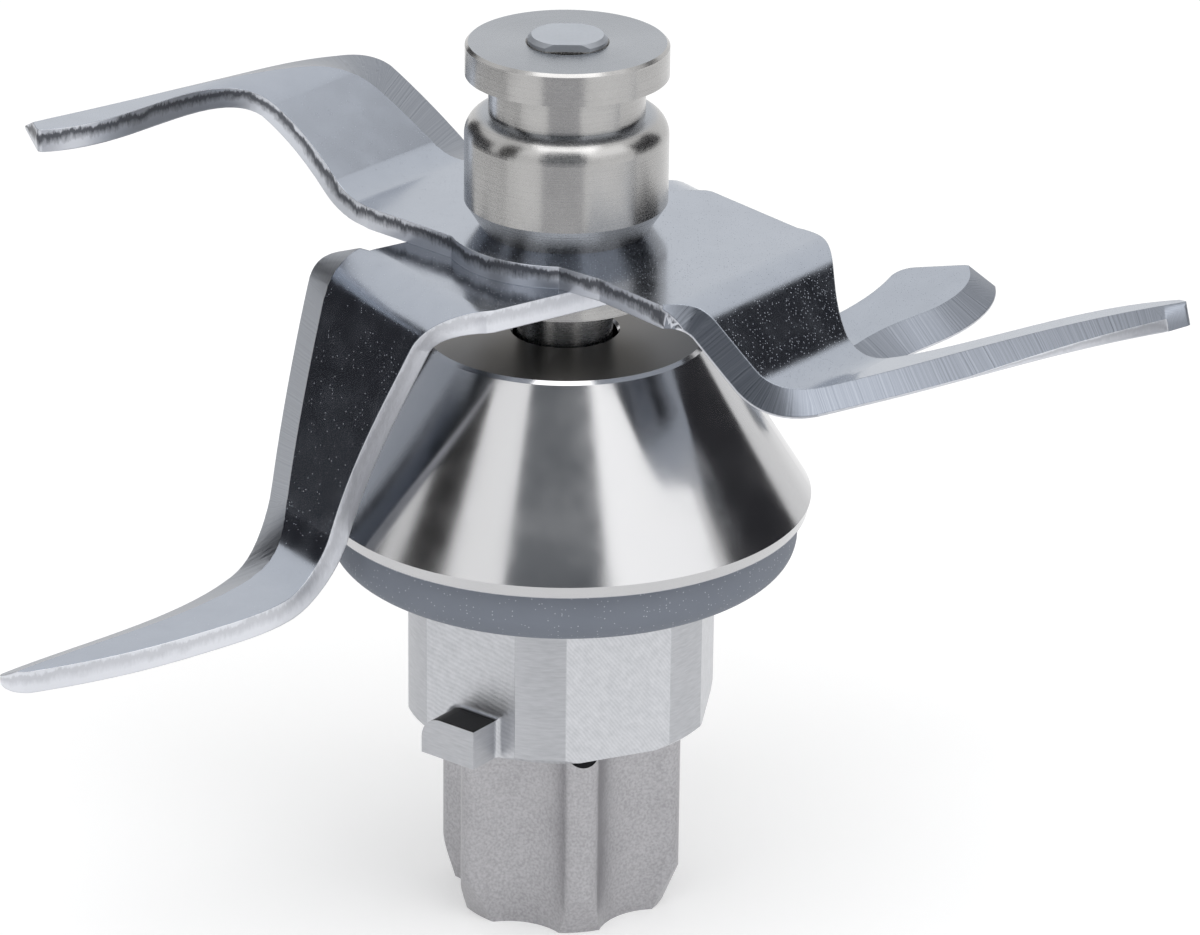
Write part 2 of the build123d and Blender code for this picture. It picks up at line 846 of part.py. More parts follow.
with BuildSketch(lower_frame) as lower_plan:
    with BuildLine():
        Polyline(*drawn((-22.0, -10.3), (6.0, -9.4), (17.0, -9.4)), deep_edge @ 0)
        add(deep_edge)
        ThreePointArc(deep_edge @ 1, *drawn((62.3, -3.8), (60.7, -1.2)))
        Spline(
            *drawn(
                (60.7, -1.2),
                (50.3, 1.9),
                (41.9, 2.9),
                (34.4, 2.5),
                (28.3, 0.9),
                (22.6, 5.4),
                (15.5, 10.8),
            )
        )
        Line(*drawn((15.5, 10.8)), rear_edge @ 0)
        add(rear_edge)
        Polyline(rear_edge @ 1, *drawn((-55.2, -6.1), (-50.2, -11.4)))
        Spline(*drawn((-50.2, -11.4), (-43.7, -8.8), (-38.0, -8.4), (-30.0, -9.3), (-22.0, -10.3)))
    make_face()
    fillet(corners(lower_plan, *drawn((-55.2, -6.1))), heel_corner)
    fillet(corners(lower_plan, *drawn((-50.2, -11.4))), rear_corner)

with BuildPart() as lower_blade:
    add(folded_sheet(lower_frame, lower_path, lower_plan.sketch))
    extrude(keyed_hole(lower_blade_foot), amount=blade_thickness, mode=Mode.SUBTRACT)
    loft(grindings(lower_frame, lower_path, deep_grind, deep_bevel), ruled=True, mode=Mode.SUBTRACT)
    loft(grindings(lower_frame, lower_path, rear_edge, rear_bevel), ruled=True, mode=Mode.SUBTRACT)
finish(lower_blade, "lower_blade")
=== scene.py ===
# %% [markdown]
# # A blade assembly for a jug blender
#
# Two bent knives turn on a spindle in a conical steel housing. The shapes come from a CAD part, which is
# loaded here as a fixed frame. This lesson gives every piece the finish that its maker left on it, sorts the
# faces of the knives by how each was made, and sets up a small studio to look at them.

# %% Load the part
from math import ceil, cos, pi, radians, sin

import bmesh
import bpy
from mathutils import Euler, Matrix, Vector
from mathutils.geometry import intersect_point_line
from mathutils.kdtree import KDTree


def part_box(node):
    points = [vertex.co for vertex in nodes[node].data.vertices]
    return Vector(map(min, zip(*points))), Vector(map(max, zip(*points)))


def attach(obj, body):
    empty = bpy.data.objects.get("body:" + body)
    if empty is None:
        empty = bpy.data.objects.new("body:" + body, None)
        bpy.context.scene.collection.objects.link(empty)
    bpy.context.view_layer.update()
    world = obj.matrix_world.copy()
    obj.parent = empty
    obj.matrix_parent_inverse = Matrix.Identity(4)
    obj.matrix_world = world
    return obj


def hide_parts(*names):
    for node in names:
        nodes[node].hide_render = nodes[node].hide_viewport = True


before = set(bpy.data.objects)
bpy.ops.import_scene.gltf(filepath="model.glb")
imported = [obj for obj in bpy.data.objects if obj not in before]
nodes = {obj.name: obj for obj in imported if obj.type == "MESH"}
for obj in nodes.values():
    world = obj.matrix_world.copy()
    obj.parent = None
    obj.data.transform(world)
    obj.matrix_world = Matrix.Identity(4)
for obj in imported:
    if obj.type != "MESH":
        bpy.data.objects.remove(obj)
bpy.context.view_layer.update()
MM = 0.001

# %% [markdown]
# Heights that the finishes need are read from the frame, so they follow the part if it changes.
# The rim is where the gasket ends, and the cone stands on the rim. The rim's height and the radius of the
# turned body don't show in a box around the piece, so these two are written down.

# %% Measure the frame
housing_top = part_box("housing")[1].z
rim_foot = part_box("gasket")[1].z
knife_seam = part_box("lower_blade")[1].z
cap_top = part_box("cap")[1].z
rim_height = 1.25 * MM
body_radius = 16.0 * MM
rim_top = rim_foot + rim_height
print("rim at", round(rim_top / MM, 2), "mm, housing top at", round(housing_top / MM, 2), "mm")

# %% [markdown]
# ## Colours and nodes
#
# Colours are written as sRGB hex values, as a colour picker shows them, and Blender works in linear light,
# so one function turns the first into the second. A second one adds a node with its settings, and links
# every input that is given as a socket. A Mix node keeps a pair of inputs for each kind of value, so they
# are given by number: 0 is the share, 2 and 3 are plain values, 4 and 5 vectors, and 6 and 7 colours. Its
# outputs 0, 1 and 2 are the plain value, the vector and the colour.


# %% Colour and node helpers
def colour(code):
    """Linear colour of an sRGB hex value such as 8a8f96."""
    channels = [int(code[place : place + 2], 16) / 255 for place in (0, 2, 4)]
    return [c / 12.92 if c <= 0.04045 else ((c + 0.055) / 1.055) ** 2.4 for c in channels] + [1.0]


def add_node(tree, kind, inputs=None, **settings):
    """Add a shader node. Inputs are values, or sockets to link."""
    node = tree.nodes.new("ShaderNode" + kind)
    for name, value in settings.items():
        setattr(node, name, value)
    for socket, value in (inputs or {}).items():
        if isinstance(value, bpy.types.NodeSocket):
            tree.links.new(value, node.inputs[socket])
        else:
            node.inputs[socket].default_value = value
    return node


def start_material(name, **sockets):
    """A material with one Principled shader, whose constant sockets are set straight away."""
    material = bpy.data.materials.new(name)
    material.use_nodes = True
    shader = material.node_tree.nodes["Principled BSDF"]
    for socket, value in sockets.items():
        shader.inputs[socket.replace("_", " ").title().replace("Ior", "IOR")].default_value = value
    return material, material.node_tree, shader


def dress(material, *names):
    """Give CAD nodes a material."""
    for name in names:
        nodes[name].material_slots[0].material = material


print("helpers ready")

# %% [markdown]
# ## Turned steel
#
# A lathe tool leaves a fine spiral of grooves around the axis. They are far too fine to count, but they
# smear every reflection across the grooves, so a turned cylinder shows tall streaks. Two things make that
# look: an anisotropic shader whose tangent runs around the axis, and faint rings of noise that depend only
# on the radius and the height.


# %% Rings and tangents around the spindle
def ring_position(tree):
    """Radius and height as a vector, so that a texture read there makes rings."""
    place = add_node(tree, "TexCoord").outputs["Object"]
    flat = add_node(tree, "VectorMath", {0: place, 1: (1, 1, 0)}, operation="MULTIPLY")
    radius = add_node(tree, "VectorMath", {0: flat.outputs[0]}, operation="LENGTH")
    height = add_node(tree, "SeparateXYZ", {0: place})
    rings = add_node(tree, "CombineXYZ", {"X": radius.outputs["Value"], "Y": height.outputs["Z"]})
    return place, radius.outputs["Value"], height.outputs["Z"], rings.outputs[0]


def turning_tangent(tree, place):
    """Direction around the spindle, for the shader's tangent."""
    around = add_node(tree, "VectorMath", {0: (0, 0, 1), 1: place}, operation="CROSS_PRODUCT")
    world = add_node(
        tree,
        "VectorTransform",
        {0: around.outputs[0]},
        vector_type="VECTOR",
        convert_from="OBJECT",
        convert_to="WORLD",
    )
    return add_node(tree, "VectorMath", {0: world.outputs[0]}, operation="NORMALIZE").outputs[0]


# %% [markdown]
# The cap is turned and left satin. Its grooves are about 0.14 mm apart, and a softer noise breaks them up,
# as small marks from handling do. Its end, which looks up, is a little bluer and darker than its sides.

# %% Satin turned stainless steel, for the cap and the spindle
satin_steel, tree, shader = start_material(
    "satin turned stainless steel", metallic=1.0, anisotropic=0.75, anisotropic_rotation=0.25
)
place, _, height, rings = ring_position(tree)
grooves = add_node(tree, "TexNoise", {"Vector": rings, "Scale": 1 / (0.14 * MM), "Detail": 4.0})
grains = add_node(tree, "TexNoise", {"Vector": place, "Scale": 1 / (0.3 * MM), "Detail": 3.0})
marks = add_node(tree, "TexNoise", {"Vector": place, "Scale": 1 / (3 * MM), "Detail": 3.0})
worn = add_node(tree, "Mix", {0: 0.5, 2: grains.outputs["Fac"], 3: marks.outputs["Fac"]}, data_type="FLOAT")
side_tone = add_node(
    tree, "Mix", {0: worn.outputs[0], 6: colour("a1a09f"), 7: colour("bcbbba")}, data_type="RGBA"
)
end_tone = add_node(
    tree, "Mix", {0: worn.outputs[0], 6: colour("979ba1"), 7: colour("a9adb3")}, data_type="RGBA"
)
upward = add_node(tree, "SeparateXYZ", {0: add_node(tree, "NewGeometry").outputs["Normal"]})
on_end = add_node(tree, "MapRange", {"Value": upward.outputs["Z"], "From Min": 0.8, "From Max": 0.98})
tone = add_node(
    tree, "Mix", {0: on_end.outputs[0], 6: side_tone.outputs[2], 7: end_tone.outputs[2]}, data_type="RGBA"
)
print("mixed the tones of", satin_steel.name)

# %% [markdown]
# The spindle's end stands out of the cap and is sawn off. The marks on it run straight, so above the cap the
# tangent does too, and the steel there is duller. Its tone is painted paler than the cap's end: a painted
# lift where the reflections in it come out dark.

# %% The sawn end of the spindle
stud_foot = cap_top + 0.02 * MM
sawn_roughness = 0.62
on_stud = add_node(tree, "Math", {0: height, 1: stud_foot}, operation="GREATER_THAN")
# painted light: a paler tone lifts the stud where its reflections come out dark
stud_tone_painted_paler = add_node(
    tree, "Mix", {0: worn.outputs[0], 6: colour("a8acb2"), 7: colour("bec2c8")}, data_type="RGBA"
)
full_tone = add_node(
    tree, "Mix", {0: on_stud.outputs[0], 6: tone.outputs[2], 7: stud_tone_painted_paler.outputs[2]}, data_type="RGBA"
)
tree.links.new(full_tone.outputs[2], shader.inputs["Base Color"])
surface = add_node(
    tree, "Mix", {0: 0.4, 2: grooves.outputs["Fac"], 3: grains.outputs["Fac"]}, data_type="FLOAT"
)
smear = add_node(
    tree,
    "MapRange",
    {"Value": surface.outputs[0], "From Min": 0.35, "From Max": 0.65, "To Min": 0.2, "To Max": 0.32},
)
rough = add_node(
    tree, "Mix", {0: on_stud.outputs[0], 2: smear.outputs[0], 3: sawn_roughness}, data_type="FLOAT"
)
tree.links.new(rough.outputs[0], shader.inputs["Roughness"])
relief = add_node(tree, "Bump", {"Height": surface.outputs[0], "Strength": 0.3, "Distance": 0.03 * MM})
tree.links.new(relief.outputs[0], shader.inputs["Normal"])
sawn = add_node(
    tree,
    "Mix",
    {0: on_stud.outputs[0], 4: turning_tangent(tree, place), 5: (1, 0, 0)},
    data_type="VECTOR",
)
tree.links.new(sawn.outputs[1], shader.inputs["Tangent"])
dress(satin_steel, "cap", "spindle")
print("dressed the cap and the spindle in", satin_steel.name)

# %% [markdown]
# The housing has three finishes on one piece of steel. The cone is polished on the lathe, the six flats
# are milled, and the corners between the flats keep the turned surface. Height and radius tell them apart.
# A Wave texture packs about 1.6 diagonal bands into each unit of its scale, so cutter marks that follow each
# other every 0.53 mm need a scale of one over 0.85 mm.

# %% Polished and milled stainless steel, for the housing
housing_steel, tree, shader = start_material(
    "polished and milled stainless steel", metallic=1.0, anisotropic=0.5, anisotropic_rotation=0.25
)
place, radius, height, rings = ring_position(tree)
below_rim = add_node(tree, "Math", {0: height, 1: rim_foot + 0.1 * MM}, operation="LESS_THAN").outputs[0]
corner_radius = body_radius - 0.03 * MM
on_corner = add_node(tree, "Math", {0: radius, 1: corner_radius}, operation="GREATER_THAN").outputs[0]
fine_grooves = add_node(tree, "TexNoise", {"Vector": rings, "Scale": 1 / (0.3 * MM), "Detail": 4.0})
cutter_marks = add_node(
    tree,
    "TexWave",
    {"Vector": place, "Scale": 1 / (0.85 * MM), "Distortion": 4.0, "Detail": 4.0, "Detail Scale": 0.5},
    wave_type="BANDS",
    bands_direction="DIAGONAL",
)
scuffs = add_node(
    tree, "TexNoise", {"Vector": place, "Scale": 1 / (0.9 * MM), "Detail": 5.0, "Roughness": 0.75}
)
scuffed = add_node(tree, "MapRange", {"Value": scuffs.outputs["Fac"], "From Min": 0.35, "From Max": 0.65})
flat_marks = add_node(
    tree, "Mix", {0: 0.6, 2: cutter_marks.outputs["Fac"], 3: scuffed.outputs[0]}, data_type="FLOAT"
)
flattened = add_node(tree, "VectorMath", {0: place, 1: (1, 1, 7)}, operation="MULTIPLY")
dashes = add_node(
    tree, "TexNoise", {"Vector": flattened.outputs[0], "Scale": 1 / (1.4 * MM), "Detail": 4.0}
)
milled = add_node(
    tree, "Mix", {0: on_corner, 2: flat_marks.outputs[0], 3: dashes.outputs["Fac"]}, data_type="FLOAT"
)
profile = add_node(
    tree, "Mix", {0: below_rim, 2: fine_grooves.outputs["Fac"], 3: milled.outputs[0]}, data_type="FLOAT"
)
depth = add_node(tree, "MapRange", {"Value": below_rim, "To Min": 0.04, "To Max": 0.3})
relief = add_node(
    tree, "Bump", {"Height": profile.outputs[0], "Strength": depth.outputs[0], "Distance": 0.05 * MM}
)
print("cut the marks of", housing_steel.name)

# %% [markdown]
# The polish on the cone isn't even: fingers leave smudges, which change its roughness more than its colour.
# The milled flats are a little brighter than the turned corners between them.

# %% Tones of the housing
milled_roughness = 0.4
smudges = add_node(tree, "TexNoise", {"Vector": place, "Scale": 1 / (6 * MM), "Detail": 5.0})
polish = add_node(
    tree,
    "MapRange",
    {"Value": smudges.outputs["Fac"], "From Min": 0.3, "From Max": 0.7, "To Min": 0.13, "To Max": 0.22},
)
bare_rough = add_node(
    tree, "Mix", {0: below_rim, 2: polish.outputs[0], 3: milled_roughness}, data_type="FLOAT"
)
polished_tone = add_node(
    tree, "Mix", {0: smudges.outputs["Fac"], 6: colour("bcbcbe"), 7: colour("c4c4c5")}, data_type="RGBA"
)
flat_tone = add_node(
    tree, "Mix", {0: milled.outputs[0], 6: colour("bcbec2"), 7: colour("d2d3d7")}, data_type="RGBA"
)
corner_tone = add_node(
    tree, "Mix", {0: milled.outputs[0], 6: colour("a8aaae"), 7: colour("cacbcf")}, data_type="RGBA"
)
milled_tone = add_node(
    tree, "Mix", {0: on_corner, 6: flat_tone.outputs[2], 7: corner_tone.outputs[2]}, data_type="RGBA"
)
body_tone = add_node(
    tree, "Mix", {0: below_rim, 6: polished_tone.outputs[2], 7: milled_tone.outputs[2]}, data_type="RGBA"
)
print("mixed the tones of", housing_steel.name)

# %% [markdown]
# The two ledges that face upwards, around the spindle and on the lug, get a painted dark reflection: a dark
# tone stands in for the shaded underside of the knives and the dark surroundings that they mirror. The rim
# faces upwards too, and two heights keep the painted dark off it.

# %% Painted dark reflection on the ledges of the housing
ledge_foot = rim_top + 5 * MM
ledge_roughness = 0.42
upward = add_node(tree, "SeparateXYZ", {0: add_node(tree, "NewGeometry").outputs["Normal"]})
# mask of the upward ledges off the rim, where a dark reflection is painted
ledge = add_node(tree, "MapRange", {"Value": upward.outputs["Z"], "From Min": 0.7, "From Max": 0.95})
above_rim = add_node(tree, "Math", {0: height, 1: ledge_foot}, operation="GREATER_THAN")
off_rim = add_node(tree, "Math", {0: above_rim.outputs[0], 1: below_rim}, operation="ADD")
painted_dark_mask = add_node(tree, "Math", {0: ledge.outputs[0], 1: off_rim.outputs[0]}, operation="MULTIPLY")
# painted dark reflection: paler on the cone's top, darker on the top of the lug
painted_dark_tone = add_node(
    tree, "Mix", {0: below_rim, 6: colour("86837f"), 7: colour("4a4948")}, data_type="RGBA"
)
tone = add_node(
    tree, "Mix", {0: painted_dark_mask.outputs[0], 6: body_tone.outputs[2], 7: painted_dark_tone.outputs[2]}, data_type="RGBA"
)
rough = add_node(
    tree, "Mix", {0: painted_dark_mask.outputs[0], 2: bare_rough.outputs[0], 3: ledge_roughness}, data_type="FLOAT"
)
tree.links.new(tone.outputs[2], shader.inputs["Base Color"])
tree.links.new(rough.outputs[0], shader.inputs["Roughness"])
tree.links.new(relief.outputs[0], shader.inputs["Normal"])
tree.links.new(turning_tangent(tree, place), shader.inputs["Tangent"])
dress(housing_steel, "housing")
print("dressed the housing in", housing_steel.name)

# %% [markdown]
# ## Silicone
#
# The gasket is moulded silicone, grey with a touch of blue. It is matt, and dust clings to it, which shows
# as pale specks a few tenths of a millimetre across.

# %% Moulded silicone, for the gasket
silicone, tree, shader = start_material("moulded grey silicone", roughness=0.62, ior=1.41)
place = add_node(tree, "TexCoord").outputs["Object"]
cloud = add_node(tree, "TexNoise", {"Vector": place, "Scale": 1 / (4 * MM), "Detail": 4.0})
body = add_node(
    tree, "Mix", {0: cloud.outputs["Fac"], 6: colour("747a85"), 7: colour("7e848f")}, data_type="RGBA"
)
specks = add_node(tree, "TexVoronoi", {"Vector": place, "Scale": 1 / (0.32 * MM), "Randomness": 1.0})
near = add_node(tree, "Math", {0: specks.outputs["Distance"], 1: 0.2}, operation="LESS_THAN")
some = add_node(tree, "SeparateColor", {0: specks.outputs["Color"]})
chosen = add_node(tree, "Math", {0: some.outputs[0], 1: 0.68}, operation="GREATER_THAN")
dust = add_node(tree, "Math", {0: near.outputs[0], 1: chosen.outputs[0]}, operation="MULTIPLY")
dusty = add_node(
    tree, "Mix", {0: dust.outputs[0], 6: body.outputs[2], 7: colour("b4b9c2")}, data_type="RGBA"
)
grain = add_node(tree, "TexNoise", {"Vector": place, "Scale": 1 / (0.25 * MM), "Detail": 2.0})
relief = add_node(tree, "Bump", {"Height": grain.outputs["Fac"], "Strength": 0.2, "Distance": 0.03 * MM})
tree.links.new(dusty.outputs[2], shader.inputs["Base Color"])
tree.links.new(relief.outputs[0], shader.inputs["Normal"])
dress(silicone, "gasket")
print("dressed the gasket in", silicone.name)

# %% [markdown]
# ## Blasted steel
#
# The drive star is cast to shape and blasted with grit, so it scatters light evenly in all directions. A
# fine bump with a high roughness does that. Its upper faces, close under the housing, get painted shade: a
# near-black tone stands in for the shadow there.

# %% Blasted cast steel, for the coupling
blasted_steel, tree, shader = start_material("blasted cast steel", metallic=1.0)
place = add_node(tree, "TexCoord").outputs["Object"]
grit = add_node(tree, "TexNoise", {"Vector": place, "Scale": 1 / (0.28 * MM), "Detail": 3.0})
patches = add_node(tree, "TexNoise", {"Vector": place, "Scale": 1 / (5 * MM), "Detail": 3.0})
grains = add_node(tree, "MapRange", {"Value": grit.outputs["Fac"], "From Min": 0.35, "From Max": 0.65})
mottle = add_node(
    tree, "Mix", {0: 0.55, 2: patches.outputs["Fac"], 3: grains.outputs[0]}, data_type="FLOAT"
)
blasted_tone = add_node(
    tree, "Mix", {0: mottle.outputs[0], 6: colour("969598"), 7: colour("c0bfc2")}, data_type="RGBA"
)
upward = add_node(tree, "SeparateXYZ", {0: add_node(tree, "NewGeometry").outputs["Normal"]})
# painted shade: faces that look up, close under the housing, take a near-black tone
painted_shade_top = add_node(tree, "MapRange", {"Value": upward.outputs["Z"], "From Min": 0.4, "From Max": 0.6})
tone = add_node(
    tree, "Mix", {0: painted_shade_top.outputs[0], 6: blasted_tone.outputs[2], 7: colour("303032")}, data_type="RGBA"
)
rough = add_node(
    tree,
    "MapRange",
    {"Value": grit.outputs["Fac"], "From Min": 0.3, "From Max": 0.7, "To Min": 0.3, "To Max": 0.46},
)
relief = add_node(tree, "Bump", {"Height": grit.outputs["Fac"], "Strength": 0.35, "Distance": 0.05 * MM})
tree.links.new(tone.outputs[2], shader.inputs["Base Color"])
tree.links.new(rough.outputs[0], shader.inputs["Roughness"])
tree.links.new(relief.outputs[0], shader.inputs["Normal"])
dress(blasted_steel, "coupling")
print("dressed the coupling in", blasted_steel.name)

# %% [markdown]
# ## Pieces inside the housing
#
# These show only from below or where the housing is taken away, but each keeps a finish of its own: ground
# bearing steel, pressed shields, moulded nylon cages, black rubber, blued spring steel and a blackened screw.

# %% Finishes of the pieces inside
bearing_parts = {
    part: [f"{place}_bearing_{part}" for place in ("upper", "lower")]
    for part in ("outer_race", "inner_race", "balls", "cage", "shields")
}
# name, two tones, metallic, least and greatest roughness, grain in mm
inside = [
    ("ground bearing steel", "d4d4d6", "c4c5c8", 1.0, 0.14, 0.24, 0.5),
    ("pressed shield steel", "bcbcbe", "aeafb2", 1.0, 0.3, 0.42, 1.5),
    ("moulded nylon", "a89a7a", "98896a", 0.0, 0.42, 0.6, 0.8),
    ("black nitrile rubber", "232325", "2d2d30", 0.0, 0.55, 0.75, 0.5),
    ("blued spring steel", "5a5b60", "6c6d72", 1.0, 0.28, 0.42, 0.6),
    ("turned spacer steel", "b4b4b6", "a6a6a9", 1.0, 0.25, 0.38, 0.4),
    ("blackened screw steel", "3e3e40", "4d4d50", 1.0, 0.38, 0.52, 0.4),
]
inside_wearers = [
    bearing_parts["outer_race"] + bearing_parts["inner_race"] + bearing_parts["balls"],
    bearing_parts["shields"],
    bearing_parts["cage"],
    ["shaft_seal"],
    ["seal_spring", "retaining_ring", "lock_washer"],
    ["bearing_spacer"],
    ["coupling_screw"],
]
for (name, first, second, metallic, smooth, coarse, grain_mm), wearers in zip(inside, inside_wearers):
    material, tree, shader = start_material(name, metallic=metallic)
    place = add_node(tree, "TexCoord").outputs["Object"]
    grain = add_node(tree, "TexNoise", {"Vector": place, "Scale": 1 / (grain_mm * MM), "Detail": 4.0})
    tone = add_node(
        tree, "Mix", {0: grain.outputs["Fac"], 6: colour(first), 7: colour(second)}, data_type="RGBA"
    )
    rough = add_node(tree, "MapRange", {"Value": grain.outputs["Fac"], "To Min": smooth, "To Max": coarse})
    relief = add_node(tree, "Bump", {"Height": grain.outputs["Fac"], "Strength": 0.15, "Distance": 0.03 * MM})
    tree.links.new(tone.outputs[2], shader.inputs["Base Color"])
    tree.links.new(rough.outputs[0], shader.inputs["Roughness"])
    tree.links.new(relief.outputs[0], shader.inputs["Normal"])
    dress(material, *wearers)
    print("dressed", ", ".join(wearers), "in", name)

# %% [markdown]
# ## Knife steel
#
# A knife shows three surfaces: the rolled faces of the sheet, the bevel that is ground along its cutting
# edge, and the rim that a press has sheared. Each gets a finish of its own. No real edge is quite sharp, so
# all three have a Bevel node, which rounds the shading of the edges and leaves the shape as it is.
#
# The rolled faces are bright, with tiny pits. The pits lie thicker to the right, where the photograph shows
# most of them, so their share grows along X.

# %% Rolled stainless sheet
soft_edge = 0.18 * MM
pitted_reach = 30 * MM
pit_roughness = 0.6
rolled_steel, tree, shader = start_material("rolled stainless sheet", metallic=1.0)
place = add_node(tree, "TexCoord").outputs["Object"]
mill_scale = add_node(tree, "TexNoise", {"Vector": place, "Scale": 1 / (3 * MM), "Detail": 5.0})
patches = add_node(tree, "TexNoise", {"Vector": place, "Scale": 1 / (9 * MM), "Detail": 2.0})
sideways = add_node(tree, "SeparateXYZ", {0: place})
dusting = add_node(
    tree,
    "MapRange",
    {
        "Value": sideways.outputs["X"],
        "From Min": -pitted_reach,
        "From Max": pitted_reach,
        "To Min": 0.05,
        "To Max": 1.1,
    },
)
share = add_node(tree, "Math", {0: patches.outputs["Fac"], 1: dusting.outputs[0]}, operation="MULTIPLY")
pits = add_node(tree, "TexVoronoi", {"Vector": place, "Scale": 1 / (0.24 * MM), "Randomness": 1.0})
pitted = add_node(tree, "Math", {0: pits.outputs["Distance"], 1: 0.22}, operation="LESS_THAN")
picked = add_node(tree, "SeparateColor", {0: pits.outputs["Color"]})
chance = add_node(tree, "Math", {0: picked.outputs[0], 1: share.outputs[0]}, operation="LESS_THAN")
pit = add_node(tree, "Math", {0: pitted.outputs[0], 1: chance.outputs[0]}, operation="MULTIPLY")
tone = add_node(
    tree, "Mix", {0: mill_scale.outputs["Fac"], 6: colour("a6acb6"), 7: colour("b2b8c2")}, data_type="RGBA"
)
tree.links.new(tone.outputs[2], shader.inputs["Base Color"])
smooth = add_node(
    tree,
    "MapRange",
    {"Value": mill_scale.outputs["Fac"], "From Min": 0.3, "From Max": 0.7, "To Min": 0.13, "To Max": 0.21},
)
rough = add_node(
    tree, "Mix", {0: pit.outputs[0], 2: smooth.outputs[0], 3: pit_roughness}, data_type="FLOAT"
)
tree.links.new(rough.outputs[0], shader.inputs["Roughness"])
rounded = add_node(tree, "Bevel", {"Radius": soft_edge}, samples=4)
relief = add_node(
    tree,
    "Bump",
    {"Height": pit.outputs[0], "Strength": 0.5, "Distance": 0.04 * MM, "Normal": rounded.outputs[0]},
    invert=True,
)
tree.links.new(relief.outputs[0], shader.inputs["Normal"])
print("made", rolled_steel.name)

# %% [markdown]
# A grinding wheel leaves scratches straight across the bevel, and they have to turn with the edge. The mesh
# will carry an attribute with the distance along the edge, and a noise that reads nothing else makes the
# scratches. Real ones are finer than the render can show, so they are drawn 0.22 mm apart.

# %% Ground bevel
ground_steel, tree, shader = start_material("ground stainless edge", metallic=1.0)
place = add_node(tree, "TexCoord").outputs["Object"]
along = add_node(tree, "Attribute", attribute_name="along_edge").outputs["Fac"]
waver = add_node(tree, "TexNoise", {"Vector": place, "Scale": 1 / (2 * MM), "Detail": 2.0})
stretch = add_node(tree, "Math", {0: waver.outputs["Fac"], 1: 0.1 * MM, 2: along}, operation="MULTIPLY_ADD")
scratch_line = add_node(tree, "CombineXYZ", {"X": stretch.outputs[0]})
scratches = add_node(
    tree,
    "TexNoise",
    {"Vector": scratch_line.outputs[0], "Scale": 1 / (0.22 * MM), "Detail": 5.0, "Roughness": 0.8},
)
brushed = add_node(
    tree, "MapRange", {"Value": scratches.outputs["Fac"], "From Min": 0.35, "From Max": 0.65}
)
tone = add_node(
    tree, "Mix", {0: brushed.outputs[0], 6: colour("686d76"), 7: colour("9da2ab")}, data_type="RGBA"
)
rough = add_node(
    tree,
    "MapRange",
    {"Value": scratches.outputs["Fac"], "From Min": 0.3, "From Max": 0.7, "To Min": 0.24, "To Max": 0.42},
)
rounded = add_node(tree, "Bevel", {"Radius": soft_edge}, samples=4)
relief = add_node(
    tree,
    "Bump",
    {
        "Height": scratches.outputs["Fac"],
        "Strength": 0.4,
        "Distance": 0.03 * MM,
        "Normal": rounded.outputs[0],
    },
)
tree.links.new(tone.outputs[2], shader.inputs["Base Color"])
tree.links.new(rough.outputs[0], shader.inputs["Roughness"])
tree.links.new(relief.outputs[0], shader.inputs["Normal"])
print("made", ground_steel.name)

# %% [markdown]
# A press leaves a thin bright strip below the upper face. Under it the steel is torn in a dark, ragged band,
# which fades towards the lower face. A second attribute tells how deep a point lies between the two faces,
# and noise shifts that depth, so the band wavers. It is strong on the upper knife and faint on the lower, and
# the upper rim's plain tone is darker. The torn band is real, but this difference between the two knives is
# painted shade.

# %% Sheared rim
sheared_steel, tree, shader = start_material("sheared stainless rim", metallic=1.0)
place = add_node(tree, "TexCoord").outputs["Object"]
below = add_node(tree, "Attribute", attribute_name="below_face").outputs["Fac"]
drawn = add_node(tree, "VectorMath", {0: place, 1: (1, 1, 0.3)}, operation="MULTIPLY")
ticks = add_node(
    tree,
    "TexNoise",
    {"Vector": drawn.outputs[0], "Scale": 1 / (0.35 * MM), "Detail": 4.0, "Roughness": 0.7},
)
waves = add_node(tree, "TexNoise", {"Vector": place, "Scale": 1 / (2.5 * MM), "Detail": 2.0})
ragged = add_node(
    tree, "Mix", {0: 0.5, 2: ticks.outputs["Fac"], 3: waves.outputs["Fac"]}, data_type="FLOAT"
)
depth = add_node(tree, "Math", {0: ragged.outputs[0], 1: 1.1, 2: below}, operation="MULTIPLY_ADD")
torn = add_node(tree, "MapRange", {"Value": depth.outputs[0], "From Min": 0.62, "From Max": 0.75})
fading = add_node(tree, "MapRange", {"Value": depth.outputs[0], "From Min": 0.9, "From Max": 1.25})
dark_band = add_node(tree, "Math", {0: torn.outputs[0], 1: fading.outputs[0]}, operation="SUBTRACT")
level = add_node(tree, "SeparateXYZ", {0: place})
on_upper = add_node(tree, "Math", {0: level.outputs["Z"], 1: knife_seam}, operation="GREATER_THAN")
# the torn band is real; drawing it strong on the upper knife and faint on the lower is painted shade
strength = add_node(tree, "MapRange", {"Value": on_upper.outputs[0], "To Min": 0.22, "To Max": 0.85})
shade = add_node(tree, "Math", {0: dark_band.outputs[0], 1: strength.outputs[0]}, operation="MULTIPLY")
